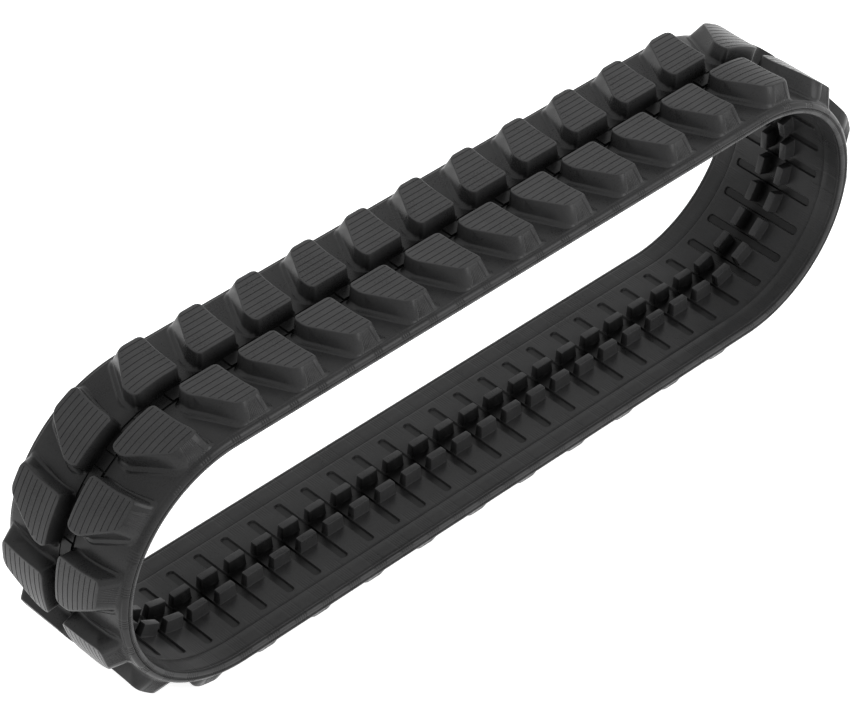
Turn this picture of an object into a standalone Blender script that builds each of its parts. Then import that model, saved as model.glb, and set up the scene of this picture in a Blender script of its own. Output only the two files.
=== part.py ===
"""Endless rubber track of a small excavator: 230 mm wide, 48 mm pitch, 64 cores.

The band is laid out flat first.  A point of the flat layout has a station s along the
band, a place y across it, and a depth t from the inner face outwards.  Each finished
piece is then wrapped round the loop: two straight runs and two half-round bends.

Station 0 is the core at the rear end of the lower run.  Stations grow along the lower
run, up the front bend, back along the upper run and down the rear bend.
"""

import math

import bmesh
import bpy
from mathutils import Matrix, Vector

# The loop
PITCH = 0.048
RUN_PITCHES = 20
BEND_PITCHES = 12
PITCH_LINE_DEPTH = 0.005
FACETS_PER_PITCH = 2

# The band across its width, and through its thickness
HALF_WIDTH = 0.115
INNER_FLAT_HALF = 0.110
BELT_THICKNESS = 0.018
COVER_SPLIT_DEPTH = 0.0088
LAYER_GAP = 0.0003
EDGE_CHAMFER = 0.005

# Steel cords
CORD_DEPTH = 0.0098
CORD_THICKNESS = 0.0018
CORD_INNER_Y = 0.0217
CORD_OUTER_Y = 0.104

# Steel cores
CORE_HALF_LENGTH = 0.0125
CORE_HALF_SPAN = 0.095
CORE_TOP_DEPTH = 0.0029
CORE_BOTTOM_DEPTH = 0.0081
CORE_HORN_Y = (0.0145, 0.0215)
CORE_HORN_HEIGHT = 0.0163
CORE_GAP = 0.0006
TIE_HALF_WIDTH = 0.0018
TIE_DEPTH = (0.0048, 0.0068)
TIE_HALF_LENGTH = 0.014
TIE_SLOT_DEPTH = 0.0043

# Rubber guide horns and the cross grooves of the inner face
HORN_HALF_LENGTH = 0.0152
HORN_Y = (0.0117, 0.0245)
HORN_HEIGHT = 0.0195
HORN_ROOT = 0.001
GROOVE_HALF_LENGTH = 0.0067
GROOVE_HALF_SPAN = 0.0704
GROOVE_DEPTH = 0.003
GROOVE_CORNER = 0.004

# Tread lugs.  An outline runs round one lug: distance along the band, distance from
# the centre line.  The slanted side with its skirt faces growing stations.
LUG_PITCHES = 2
LUG_HEIGHT = 0.026
LUG_SHOULDER = 0.0055
LUG_SUNK = 0.001
RIGHT_ROW_PHASE = 1.5
LEFT_ROW_PHASE = 0.3
LUG_TOP = [
    (-0.031, 0.013), (0.029, 0.013), (0.033, 0.020), (0.033, 0.036),
    (0.0, 0.0935), (-0.0365, 0.0935), (-0.0315, 0.058),
]
LUG_WALL_FOOT = [
    (-0.033, 0.012), (0.0305, 0.012), (0.035, 0.019), (0.035, 0.037),
    (0.003, 0.104), (-0.0405, 0.104), (-0.034, 0.058),
]
LUG_BASE = [
    (-0.0355, 0.0115), (0.033, 0.0115), (0.041, 0.0185), (0.043, 0.038),
    (0.009, 0.107), (-0.042, 0.107), (-0.037, 0.058),
]

# Where the band bends: half the length of each flexing strip
FLEX_HALF = 0.008

LOOP_PITCHES = 2 * (RUN_PITCHES + BEND_PITCHES)
FACET = PITCH / FACETS_PER_PITCH
FACET_TURN = math.pi / (BEND_PITCHES * FACETS_PER_PITCH)
BEND_APOTHEM = FACET / 2 / math.tan(FACET_TURN / 2)
TREAD_DEPTH = BELT_THICKNESS + LUG_HEIGHT
CENTRE_HEIGHT = BEND_APOTHEM + TREAD_DEPTH - PITCH_LINE_DEPTH

# A section is the stations of its two hinges, in pitches
SECTIONS = {
    "lower_run": (0.5, 19.5),
    "front_bend": (19.5, 32.5),
    "upper_run": (32.5, 51.5),
    "rear_bend": (51.5, 64.5),
}
HINGES = {
    "lower_rear": 0.5,
    "lower_front": 19.5,
    "upper_front": 32.5,
    "upper_rear": 51.5,
}

RUBBER = ((0.030, 0.030, 0.031, 1.0), 0.55, 0.0)
TREAD_RUBBER = ((0.036, 0.036, 0.037, 1.0), 0.60, 0.0)
STEEL = ((0.42, 0.41, 0.40, 1.0), 0.45, 1.0)
CORD_STEEL = ((0.55, 0.50, 0.38, 1.0), 0.35, 1.0)


def clear_scene():
    """Remove every object that the scene holds."""
    for found in list(bpy.data.objects):
        bpy.data.objects.remove(found, do_unlink=True)


def new_collection(name):
    """Make a collection in the scene."""
    made = bpy.data.collections.new(name)
    bpy.context.scene.collection.children.link(made)
    return made


def new_material(name, finish):
    """Make a Principled material from a colour, a roughness and a metallic value."""
    colour, roughness, metallic = finish
    made = bpy.data.materials.new(name)
    made.use_nodes = True
    shader = made.node_tree.nodes["Principled BSDF"]
    shader.inputs["Base Color"].default_value = colour
    shader.inputs["Roughness"].default_value = roughness
    shader.inputs["Metallic"].default_value = metallic
    return made


# ---------------------------------------------------------------- the loop


def facet_angle(index):
    """Direction of a facet of the band: 0 along the lower run, growing upwards."""
    first_bend = RUN_PITCHES * FACETS_PER_PITCH
    second_bend = first_bend + (BEND_PITCHES + RUN_PITCHES) * FACETS_PER_PITCH
    bend_facets = BEND_PITCHES * FACETS_PER_PITCH
    turned = min(max(index - first_bend, 0), bend_facets)
    turned += min(max(index - second_bend, 0), bend_facets)
    return turned * FACET_TURN


def facet_centres():
    """Centre of every facet on the pitch line, as (x, z)."""
    places = [Vector((-RUN_PITCHES * PITCH / 2, CENTRE_HEIGHT - BEND_APOTHEM))]
    for index in range(LOOP_PITCHES * FACETS_PER_PITCH + FACETS_PER_PITCH):
        step = Vector((0.0, 0.0))
        for angle in (facet_angle(index), facet_angle(index + 1)):
            step += Vector((math.cos(angle), math.sin(angle))) * FACET / 2
        places.append(places[-1] + step)
    return places


CENTRES = facet_centres()


def facet_frame(index):
    """Rigid frame of one facet: X along the band, Z from its outer face inwards."""
    angle = facet_angle(index)
    centre = CENTRES[index]
    turn = Matrix.Rotation(-angle, 4, "Y")
    return Matrix.Translation((centre.x, 0.0, centre.y)) @ turn


def wrap_point(point):
    """Take a point of the flat layout (s, y, -t) to its place on the loop."""
    index = int(math.floor(point.x / FACET + 0.5))
    along = point.x - index * FACET
    rise = point.z + PITCH_LINE_DEPTH
    neighbour = index + 1 if along > 0 else max(index - 1, 0)
    if facet_angle(neighbour) != facet_angle(index):
        along *= 1.0 - rise / BEND_APOTHEM
    return facet_frame(index) @ Vector((along, point.y, rise))


def core_frame(station):
    """Rigid frame at a core, with its origin on the inner face."""
    frame = facet_frame(round(station * FACETS_PER_PITCH))
    return frame @ Matrix.Translation((0.0, 0.0, PITCH_LINE_DEPTH))


def wrap(mesh_bm):
    """Wrap a flat mesh round the loop, with a crease at every turn of the band."""
    stations = [vert.co.x for vert in mesh_bm.verts]
    first = int(math.floor(min(stations) / FACET))
    last = int(math.ceil(max(stations) / FACET))
    for index in range(first, last + 1):
        if index < 0 or facet_angle(index) == facet_angle(index + 1):
            continue
        geometry = mesh_bm.verts[:] + mesh_bm.edges[:] + mesh_bm.faces[:]
        bmesh.ops.bisect_plane(
            mesh_bm, geom=geometry, dist=1e-7,
            plane_co=((index + 0.5) * FACET, 0.0, 0.0), plane_no=(1.0, 0.0, 0.0),
        )
    if len({facet_angle(i) for i in range(max(first, 0), last + 1)}) > 1:
        bmesh.ops.triangulate(mesh_bm, faces=mesh_bm.faces[:])
    for vert in mesh_bm.verts:
        vert.co = wrap_vertex(vert.co)


def wrap_vertex(point):
    """Wrap one vertex.  What stands above the inner face keeps its core's frame."""
    if point.z <= 1e-6:
        return wrap_point(point)
    station = int(math.floor(point.x / PITCH + 0.5))
    return core_frame(station) @ Vector((point.x - station * PITCH, point.y, point.z))


# ---------------------------------------------------------------- flat shapes


def prism(outline, start, end):
    """Closed prism along the band from an outline of (y, t) points."""
    made = bmesh.new()
    corners = [made.verts.new((start, y, -t)) for y, t in outline]
    face = made.faces.new(corners)
    grown = bmesh.ops.extrude_face_region(made, geom=[face])
    moved = [item for item in grown["geom"] if isinstance(item, bmesh.types.BMVert)]
    bmesh.ops.translate(made, verts=moved, vec=(end - start, 0.0, 0.0))
    bmesh.ops.recalc_face_normals(made, faces=made.faces[:])
    return made


def mirrored(half):
    """Close a half outline, given from the centre line outwards and back."""
    return half + [(-y, t) for y, t in reversed(half) if abs(y) > 1e-9]


def box(made, low, high):
    """Add a box between two corners of the flat layout, as (s, y, t)."""
    size = [abs(b - a) for a, b in zip(low, high)]
    middle = [(a + b) / 2 for a, b in zip(low, high)]
    place = Matrix.Translation((middle[0], middle[1], -middle[2]))
    bmesh.ops.create_cube(made, size=1.0, matrix=place @ Matrix.Diagonal((*size, 1.0)))


def loft(made, rings):
    """Add a closed solid through rings of equal point count, first to last."""
    loops = [[made.verts.new(point) for point in ring] for ring in rings]
    faces = [made.faces.new(loops[0]), made.faces.new(loops[-1])]
    count = len(loops[0])
    for lower, upper in zip(loops, loops[1:]):
        for index in range(count):
            after = (index + 1) % count
            faces.append(made.faces.new(
                (lower[index], lower[after], upper[after], upper[index])))
    bmesh.ops.recalc_face_normals(made, faces=faces)


def inner_cover_outline():
    """Section of the inner cover, with the slot for the cores' ties."""
    back = COVER_SPLIT_DEPTH - LAYER_GAP / 2
    slot = TIE_HALF_WIDTH + CORE_GAP
    return mirrored([
        (0.0, 0.0),
        (INNER_FLAT_HALF, 0.0),
        (HALF_WIDTH - 0.001, 0.0026),
        (HALF_WIDTH, EDGE_CHAMFER),
        (HALF_WIDTH, back),
        (slot, back),
        (slot, TIE_SLOT_DEPTH),
        (0.0, TIE_SLOT_DEPTH),
    ])


def tread_outline():
    """Section of the tread, with a trough for each belt of steel cords."""
    face = COVER_SPLIT_DEPTH + LAYER_GAP / 2
    trough = CORD_DEPTH + CORD_THICKNESS / 2 + LAYER_GAP
    return mirrored([
        (0.0, face),
        (CORD_INNER_Y - LAYER_GAP, face),
        (CORD_INNER_Y - LAYER_GAP, trough),
        (CORD_OUTER_Y + LAYER_GAP, trough),
        (CORD_OUTER_Y + LAYER_GAP, face),
        (HALF_WIDTH, face),
        (HALF_WIDTH - 0.001, BELT_THICKNESS - EDGE_CHAMFER),
        (INNER_FLAT_HALF, BELT_THICKNESS - 0.0015),
        (INNER_FLAT_HALF - 0.004, BELT_THICKNESS),
        (0.0, BELT_THICKNESS),
    ])


def core_outline(gap):
    """Section of a core across the band, grown by a gap for the hollow it lies in."""
    top = CORE_TOP_DEPTH - gap
    bottom = CORE_BOTTOM_DEPTH if gap == 0 else CORE_BOTTOM_DEPTH + 0.002
    horn_near = CORE_HORN_Y[0] - gap
    horn_far = CORE_HORN_Y[1] + gap
    tip = -CORE_HORN_HEIGHT - gap
    return mirrored([
        (horn_near, top),
        (horn_near, tip),
        (horn_far, tip),
        (horn_far, top),
        (CORE_HALF_SPAN + gap, top),
        (CORE_HALF_SPAN + gap, bottom),
    ])


def groove_cutter(made, station):
    """Add one cross groove, with cut corners, to the cutter of the inner face."""
    ring = []
    corners = [(1, 1), (-1, 1), (-1, -1), (1, -1)]
    for along, across in corners:
        near = (along * GROOVE_HALF_LENGTH, across * (GROOVE_HALF_SPAN - GROOVE_CORNER))
        far = (along * (GROOVE_HALF_LENGTH - GROOVE_CORNER), across * GROOVE_HALF_SPAN)
        ring += [near, far] if along * across > 0 else [far, near]
    middle = station * PITCH
    levels = (0.001, -GROOVE_DEPTH)
    loft(made, [[(middle + s, y, level) for s, y in ring] for level in levels])


def lug(made, station, side):
    """Add one tread lug on the side of the centre line that side (+1 or -1) names."""
    middle = station * PITCH
    surface = BELT_THICKNESS
    levels = [
        (LUG_BASE, surface - LUG_SUNK),
        (LUG_BASE, surface),
        (LUG_WALL_FOOT, surface + LUG_SHOULDER),
        (LUG_TOP, surface + LUG_HEIGHT),
    ]
    loft(made, [[(middle + s, side * y, -depth) for s, y in ring]
                for ring, depth in levels])


# ---------------------------------------------------------------- objects


def as_object(name, made, home):
    """Turn a mesh under construction into an object of a collection."""
    mesh = bpy.data.meshes.new(name)
    made.to_mesh(mesh)
    made.free()
    found = bpy.data.objects.new(name, mesh)
    home.objects.link(found)
    return found


def as_cutter(name, made, home):
    """Turn a mesh into a hidden helper object."""
    found = as_object(name, made, home)
    found.hide_render = True
    found.display_type = "WIRE"
    return found


def combine(base, steps):
    """Run Boolean steps on an object and return the result as a fresh mesh."""
    for operation, other in steps:
        step = base.modifiers.new(operation.lower(), "BOOLEAN")
        step.operation = operation
        step.solver = "EXACT"
        step.object = other
    bpy.context.view_layer.update()
    graph = bpy.context.evaluated_depsgraph_get()
    result = bmesh.new()
    result.from_mesh(bpy.data.meshes.new_from_object(base.evaluated_get(graph)))
    bmesh.ops.remove_doubles(result, verts=result.verts[:], dist=1e-6)
    return result


def finish(name, made, finish_values):
    """Store a wrapped mesh as the finished piece, with its own material."""
    piece = as_object(name, made, PARTS)
    piece.data.materials.append(new_material(name + "_finish", finish_values))
    return piece


def stations_within(start, end, phase, step):
    """Stations phase + n * step from start to end, in pitches."""
    first = math.ceil((start - phase) / step)
    last = math.floor((end - phase) / step)
    return [phase + index * step for index in range(first, last + 1)]


def build_inner_cover(name, start, end):
    """Inner cover from one station to another: roller paths, horns and grooves."""
    base = as_cutter(name + "_strip", prism(inner_cover_outline(), start, end), TOOLS)
    cores = stations_within(start / PITCH, end / PITCH, 0, 1)
    steps = []
    if cores:
        horns = bmesh.new()
        hollows = bmesh.new()
        hollow_half = CORE_HALF_LENGTH + CORE_GAP
        for station in cores:
            middle = station * PITCH
            for side in (-1, 1):
                ys = sorted(side * y for y in HORN_Y)
                box(horns, (middle - HORN_HALF_LENGTH, ys[0], -HORN_HEIGHT),
                    (middle + HORN_HALF_LENGTH, ys[1], HORN_ROOT))
            add_mesh(hollows, prism(core_outline(CORE_GAP),
                                    middle - hollow_half, middle + hollow_half))
        steps.append(("UNION", as_cutter(name + "_horns", horns, TOOLS)))
        steps.append(("DIFFERENCE", as_cutter(name + "_hollows", hollows, TOOLS)))
    grooves = bmesh.new()
    for station in stations_within(start / PITCH, end / PITCH, 0.5, 1):
        groove_cutter(grooves, station)
    steps.append(("DIFFERENCE", as_cutter(name + "_grooves", grooves, TOOLS)))
    made = combine(base, steps)
    wrap(made)
    return finish(name, made, RUBBER)


def add_mesh(target, source):
    """Add one mesh under construction to another."""
    held = bpy.data.meshes.new("held")
    source.to_mesh(held)
    source.free()
    target.from_mesh(held)
    bpy.data.meshes.remove(held)


def build_tread(name, start, end):
    """Tread from one station to another, with the lugs that stand on it."""
    strip = prism(tread_outline(), start - PITCH, end + PITCH)
    base = as_cutter(name + "_strip", strip, TOOLS)
    lugs = bmesh.new()
    reach = LUG_BASE[3][0] / PITCH
    for side, phase in ((-1, RIGHT_ROW_PHASE), (1, LEFT_ROW_PHASE)):
        places = stations_within(start / PITCH - reach, end / PITCH + reach,
                                 phase, LUG_PITCHES)
        for station in places:
            lug(lugs, station, side)
    trim = bmesh.new()
    box(trim, (start, -2 * HALF_WIDTH, 0.0), (end, 2 * HALF_WIDTH, 2 * TREAD_DEPTH))
    made = combine(base, [
        ("UNION", as_cutter(name + "_lugs", lugs, TOOLS)),
        ("INTERSECT", as_cutter(name + "_trim", trim, TOOLS)),
    ])
    wrap(made)
    return finish(name, made, TREAD_RUBBER)


def build_cord(name, start, end, side):
    """One stretch of a steel cord belt, between two hinges."""
    ys = sorted(side * y for y in (CORD_INNER_Y, CORD_OUTER_Y))
    depths = (CORD_DEPTH - CORD_THICKNESS / 2, CORD_DEPTH + CORD_THICKNESS / 2)
    outline = [(ys[0], depths[0]), (ys[1], depths[0]), (ys[1], depths[1]),
               (ys[0], depths[1])]
    made = prism(outline, start, end)
    wrap(made)
    return finish(name, made, CORD_STEEL)


def build_cores(name, stations):
    """Neighbouring steel cores, held together by a light tie between each two."""
    cores = bmesh.new()
    for station in stations:
        one = prism(core_outline(0.0), -CORE_HALF_LENGTH, CORE_HALF_LENGTH)
        one.transform(core_frame(station))
        add_mesh(cores, one)
    base = as_cutter(name + "_cores", cores, TOOLS)
    ties = bmesh.new()
    for station in stations[:-1]:
        one = bmesh.new()
        box(one, (-TIE_HALF_LENGTH, -TIE_HALF_WIDTH, TIE_DEPTH[0]),
            (TIE_HALF_LENGTH, TIE_HALF_WIDTH, TIE_DEPTH[1]))
        one.transform(core_frame(station + 0.5))
        add_mesh(ties, one)
    made = combine(base, [("UNION", as_cutter(name + "_ties", ties, TOOLS))])
    return finish(name, made, STEEL)


def core_groups(start, end):
    """Split the cores between two hinges into twos, and a last three."""
    stations = stations_within(start, end, 0, 1)
    groups = [stations[index:index + 2] for index in range(0, len(stations) - 3, 2)]
    groups.append(stations[-3:])
    return groups


def build_section(name, hinges):
    """One section of the band: covers, cord belts and cores."""
    start, end = (station * PITCH for station in hinges)
    gap = LAYER_GAP / 2
    build_inner_cover(name + "_inner_cover", start + FLEX_HALF + gap,
                      end - FLEX_HALF - gap)
    build_tread(name + "_tread", start + FLEX_HALF + gap, end - FLEX_HALF - gap)
    for side, label in ((-1, "right"), (1, "left")):
        build_cord(f"{name}_cord_belt_{label}", start + gap, end - gap, side)
    for number, group in enumerate(core_groups(*hinges), start=1):
        build_cores(f"{name}_cores_{number}", group)


def build_flex_strip(name, station):
    """The rubber that bends at a hinge: a strip of inner cover and one of tread."""
    middle = station * PITCH
    gap = LAYER_GAP / 2
    build_inner_cover(name + "_flex_inner", middle - FLEX_HALF + gap,
                      middle + FLEX_HALF - gap)
    build_tread(name + "_flex_tread", middle - FLEX_HALF + gap,
                middle + FLEX_HALF - gap)


clear_scene()
PARTS = new_collection("rubber_track")
TOOLS = new_collection("cutters")
for section_name, section_hinges in SECTIONS.items():
    build_section(section_name, section_hinges)
for hinge_name, hinge_station in HINGES.items():
    build_flex_strip(hinge_name, hinge_station)
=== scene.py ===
"""Moulded surface of an endless rubber track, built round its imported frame.

The band is laid out flat first: X is the station along the band, Y the place across
it, and Z the rise above the inner face.  Node trees repeat each moulded pattern along
the band and wrap it round the loop's two runs and two bends.
"""

import logging
import math
from collections.abc import Callable, Sequence
from dataclasses import dataclass, field, replace
from enum import Enum

import bmesh
import bpy
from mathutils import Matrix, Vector
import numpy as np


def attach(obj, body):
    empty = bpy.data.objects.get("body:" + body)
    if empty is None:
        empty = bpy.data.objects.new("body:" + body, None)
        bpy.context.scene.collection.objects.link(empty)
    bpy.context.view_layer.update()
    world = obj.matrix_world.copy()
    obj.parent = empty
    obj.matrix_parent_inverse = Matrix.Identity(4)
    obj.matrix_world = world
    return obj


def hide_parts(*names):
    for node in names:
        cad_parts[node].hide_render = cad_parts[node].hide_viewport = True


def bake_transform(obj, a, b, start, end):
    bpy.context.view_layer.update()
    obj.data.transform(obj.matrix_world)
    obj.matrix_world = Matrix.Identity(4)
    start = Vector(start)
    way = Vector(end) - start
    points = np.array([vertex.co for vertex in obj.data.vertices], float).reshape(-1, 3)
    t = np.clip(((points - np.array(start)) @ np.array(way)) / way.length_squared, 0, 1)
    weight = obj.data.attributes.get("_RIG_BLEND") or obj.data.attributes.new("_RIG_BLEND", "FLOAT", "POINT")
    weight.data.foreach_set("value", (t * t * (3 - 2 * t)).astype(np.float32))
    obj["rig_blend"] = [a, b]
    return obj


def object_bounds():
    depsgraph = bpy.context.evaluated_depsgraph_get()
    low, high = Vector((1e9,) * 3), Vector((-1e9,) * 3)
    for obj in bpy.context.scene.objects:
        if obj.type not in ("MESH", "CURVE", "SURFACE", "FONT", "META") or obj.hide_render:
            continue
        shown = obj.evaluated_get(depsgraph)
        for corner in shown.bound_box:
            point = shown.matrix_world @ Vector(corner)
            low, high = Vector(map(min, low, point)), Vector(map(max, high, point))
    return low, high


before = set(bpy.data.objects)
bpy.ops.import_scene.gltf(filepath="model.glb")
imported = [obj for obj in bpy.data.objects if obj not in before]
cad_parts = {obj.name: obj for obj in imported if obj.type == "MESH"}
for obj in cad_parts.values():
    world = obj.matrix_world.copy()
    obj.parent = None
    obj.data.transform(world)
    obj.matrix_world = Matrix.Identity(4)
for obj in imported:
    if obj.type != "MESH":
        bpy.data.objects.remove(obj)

LOG = logging.getLogger("rubber_track")
CAD_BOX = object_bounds()

Point = tuple[float, float, float]
FlatPoint = tuple[float, float]


class Side(Enum):
    """The two rows of lugs, by the side of the centre line that they stand on."""

    RIGHT = -1
    LEFT = 1


class Layer(Enum):
    """The two layers of rubber, by the ending of the CAD nodes that hold them."""

    COVER = "inner"
    TREAD = "tread"

    @property
    def slot(self) -> str:
        """The record's material slot for this rubber."""
        return f"{self.name.lower()}_rubber"


class LaneKind(Enum):
    """What the section of a tile looks like along one of its lanes."""

    PLAIN = "plain"
    LINE = "mould line"
    RIM = "rim of the cross groove"
    FLOOR = "floor of the cross groove"
    MIDDLE = "middle of the cross groove"
    PAD_FOOT = "foot of the middle pad"
    BETWEEN = "between two middle pads"


# ---------------------------------------------------------------- the loop


@dataclass(frozen=True)
class Loop:
    """The path of the band: a lower run, a front bend, an upper run, a rear bend."""

    pitch: float = 0.048
    run_pitches: int = 20
    bend_pitches: int = 12
    pitch_line_depth: float = 0.005
    cord_depth: float = 0.0098
    band_depth: float = 0.044

    @property
    def run(self) -> float:
        """Length of a straight run."""
        return self.run_pitches * self.pitch

    @property
    def bend(self) -> float:
        """Length of a bend, in stations."""
        return self.bend_pitches * self.pitch

    @property
    def middle_height(self) -> float:
        """Height of the loop's middle over the ground."""
        return (CAD_BOX[0].z + CAD_BOX[1].z) / 2

    @property
    def radius(self) -> float:
        """Radius of the pitch line in a bend."""
        half = (CAD_BOX[1].z - CAD_BOX[0].z) / 2
        return half - self.band_depth + self.pitch_line_depth


LOOP = Loop()


@dataclass(frozen=True)
class Stretch:
    """A stretch of the band, from one station to another, in pitches.

    A stretch with one body rides on it.  A stretch with two bodies bends between
    them, from the first X of turn to the second.
    """

    name: str
    first: float
    last: float
    bodies: tuple[str, ...]
    nodes: tuple[str, ...]
    turn: tuple[float, float] | None = None

    @property
    def cord_height(self) -> float:
        """Height of the cord line on the lower or the upper run.

        Returns:
            The height over the ground.
        """
        rise = LOOP.band_depth - LOOP.cord_depth
        upper = LOOP.run_pitches < (self.first + self.last) / 2
        return CAD_BOX[1].z - rise if upper else CAD_BOX[0].z + rise

    def cad_nodes(self, layer: Layer) -> list[str]:
        """CAD nodes of one layer that this stretch stands for.

        Args:
            layer: The layer of rubber.

        Returns:
            The nodes' names.
        """
        found = []
        for node in self.nodes:
            if node.endswith("flex"):
                found.append(f"{node}_{layer.value}")
            elif layer is Layer.COVER:
                found.append(f"{node}_inner_cover")
            else:
                found.append(f"{node}_tread")
        return found


# The station at which the lower run and the front bend meet without a joint.
OPEN_SEAM = 19.5

STRETCHES = (
    Stretch("lower_rear_corner", -1, 2, ("lower_run", "rear_bend"),
            ("lower_rear_flex",), (-0.386, -0.526)),
    Stretch("lower_run_middle", 2, OPEN_SEAM, ("lower_run",),
            ("lower_run", "lower_front_flex")),
    Stretch("front_bend_round", OPEN_SEAM, 31, ("front_bend",), ("front_bend",)),
    Stretch("upper_front_corner", 31, 34, ("upper_run", "front_bend"),
            ("upper_front_flex",), (0.386, 0.526)),
    Stretch("upper_run_middle", 34, 50, ("upper_run",), ("upper_run",)),
    Stretch("upper_rear_corner", 50, 53, ("upper_run", "rear_bend"),
            ("upper_rear_flex",), (-0.386, -0.526)),
    Stretch("rear_bend_round", 53, 63, ("rear_bend",), ("rear_bend",)),
)


# ---------------------------------------------------------------- node trees


class Tree:
    """Short way to add and join nodes in a node tree."""

    def __init__(self, tree: bpy.types.NodeTree) -> None:
        """Keep the tree.

        Args:
            tree: The node tree to add to.
        """
        self.tree = tree

    def node(self, kind: str, settings: dict[str, object] | None = None,
             **values: object) -> bpy.types.Node:
        """Add a node, and give its inputs a value or a link.

        Args:
            kind: The node's type.
            settings: Attributes of the node.
            **values: Inputs by their name, with _ for a space.

        Returns:
            The node.
        """
        made = self.tree.nodes.new(kind)
        for key, value in (settings or {}).items():
            setattr(made, key, value)
        for key, value in values.items():
            self.feed(made.inputs[key.replace("_", " ")], value)
        return made

    def feed(self, socket: bpy.types.NodeSocket, value: object) -> None:
        """Give an input a value, or link another node's output to it.

        Args:
            socket: The input.
            value: A number, vector, colour, data block or output socket.
        """
        if isinstance(value, bpy.types.NodeSocket):
            self.tree.links.new(value, socket)
        else:
            socket.default_value = value

    def math(self, operation: str, *values: object) -> bpy.types.NodeSocket:
        """Add a Math node.

        Args:
            operation: The operation's name.
            *values: Its inputs.

        Returns:
            The output socket.
        """
        made = self.tree.nodes.new("ShaderNodeMath")
        made.operation = operation
        for socket, value in zip(made.inputs, values):
            self.feed(socket, value)
        return made.outputs[0]

    def ramp(self, value: object, low: float, high: float, start: float,
             end: float) -> bpy.types.NodeSocket:
        """Map a value from low..high to start..end, held at both ends.

        Args:
            value: The input.
            low: Input that gives start.
            high: Input that gives end.
            start: Lowest result.
            end: Highest result.

        Returns:
            The output socket.
        """
        made = self.tree.nodes.new("ShaderNodeMapRange")
        for name, number in zip(("Value", "From Min", "From Max", "To Min", "To Max"),
                                (value, low, high, start, end)):
            self.feed(made.inputs[name], number)
        return made.outputs["Result"]


def geometry_tree(name: str, inputs: Sequence[tuple[str, str]]) -> bpy.types.NodeTree:
    """Make an empty Geometry Nodes tree.

    Args:
        name: The tree's name.
        inputs: Name and socket type of each input after the geometry.

    Returns:
        The tree, with its group input and output.
    """
    tree = bpy.data.node_groups.new(name, "GeometryNodeTree")
    tree.interface.new_socket("Geometry", in_out="INPUT",
                              socket_type="NodeSocketGeometry")
    for label, kind in inputs:
        tree.interface.new_socket(label, in_out="INPUT", socket_type=kind)
    tree.interface.new_socket("Geometry", in_out="OUTPUT",
                              socket_type="NodeSocketGeometry")
    tree.nodes.new("NodeGroupInput")
    tree.nodes.new("NodeGroupOutput")
    return tree


def add_wrap(build: Tree, place: bpy.types.NodeSocket,
             loop: Loop) -> tuple[bpy.types.NodeSocket, bpy.types.NodeSocket]:
    """Add the nodes that take a place in the flat layout to its place on the loop.

    Args:
        build: The tree to add to.
        place: The flat place.
        loop: The band's path.

    Returns:
        The place on the loop, and the turn of the band there, in radians.
    """
    run, bend, radius = loop.run, loop.bend, loop.radius
    split = build.node("ShaderNodeSeparateXYZ", Vector=place)
    station, across, rise = split.outputs
    front = build.ramp(station, run, run + bend, 0.0, math.pi)
    rear = build.ramp(station, 2 * run + bend, 2 * (run + bend), 0.0, math.pi)
    before = build.ramp(station, -bend, 0.0, -math.pi, 0.0)
    turn = build.math("ADD", build.math("ADD", front, rear), before)
    forward = build.ramp(station, 0.0, run, -run / 2, run / 2)
    back = build.ramp(station, run + bend, 2 * run + bend, 0.0, -run)
    reach = build.math("SUBTRACT", radius - loop.pitch_line_depth, rise)
    along = build.math("MULTIPLY", reach, build.math("SINE", turn))
    down = build.math("MULTIPLY", reach, build.math("COSINE", turn))
    joined = build.node(
        "ShaderNodeCombineXYZ",
        X=build.math("ADD", build.math("ADD", forward, back), along),
        Y=across,
        Z=build.math("SUBTRACT", loop.middle_height, down),
    )
    return joined.outputs[0], turn


MERGE_DISTANCE = 2e-5
ROW_INPUTS = (
    ("Pattern", "NodeSocketObject"),
    ("First Station", "NodeSocketFloat"),
    ("Spacing", "NodeSocketFloat"),
    ("Count", "NodeSocketInt"),
    ("Finish", "NodeSocketMaterial"),
)


def row_points(build: Tree, given: bpy.types.Node) -> tuple[bpy.types.NodeSocket,
                                                           bpy.types.NodeSocket]:
    """Add a row of stations, and the pattern that stands at each.

    Args:
        build: The tree to add to.
        given: The tree's group input.

    Returns:
        The row's points, and the pattern as an instance.
    """
    line = build.node(
        "GeometryNodeMeshLine",
        Count=given.outputs["Count"],
        Start_Location=build.node("ShaderNodeCombineXYZ",
                                  X=given.outputs["First Station"]).outputs[0],
        Offset=build.node("ShaderNodeCombineXYZ",
                          X=given.outputs["Spacing"]).outputs[0],
    )
    pattern = build.node("GeometryNodeObjectInfo", Object=given.outputs["Pattern"],
                         As_Instance=True)
    return line.outputs[0], pattern.outputs["Geometry"]


def end_row(build: Tree, given: bpy.types.Node, shape: bpy.types.NodeSocket) -> None:
    """Give a finished row its material and send it to the tree's output.

    Args:
        build: The tree to add to.
        given: The tree's group input.
        shape: The realised geometry.
    """
    dressed = build.node("GeometryNodeSetMaterial", Geometry=shape,
                         Material=given.outputs["Finish"])
    output = build.tree.nodes["Group Output"]
    build.feed(output.inputs["Geometry"], dressed.outputs[0])


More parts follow.
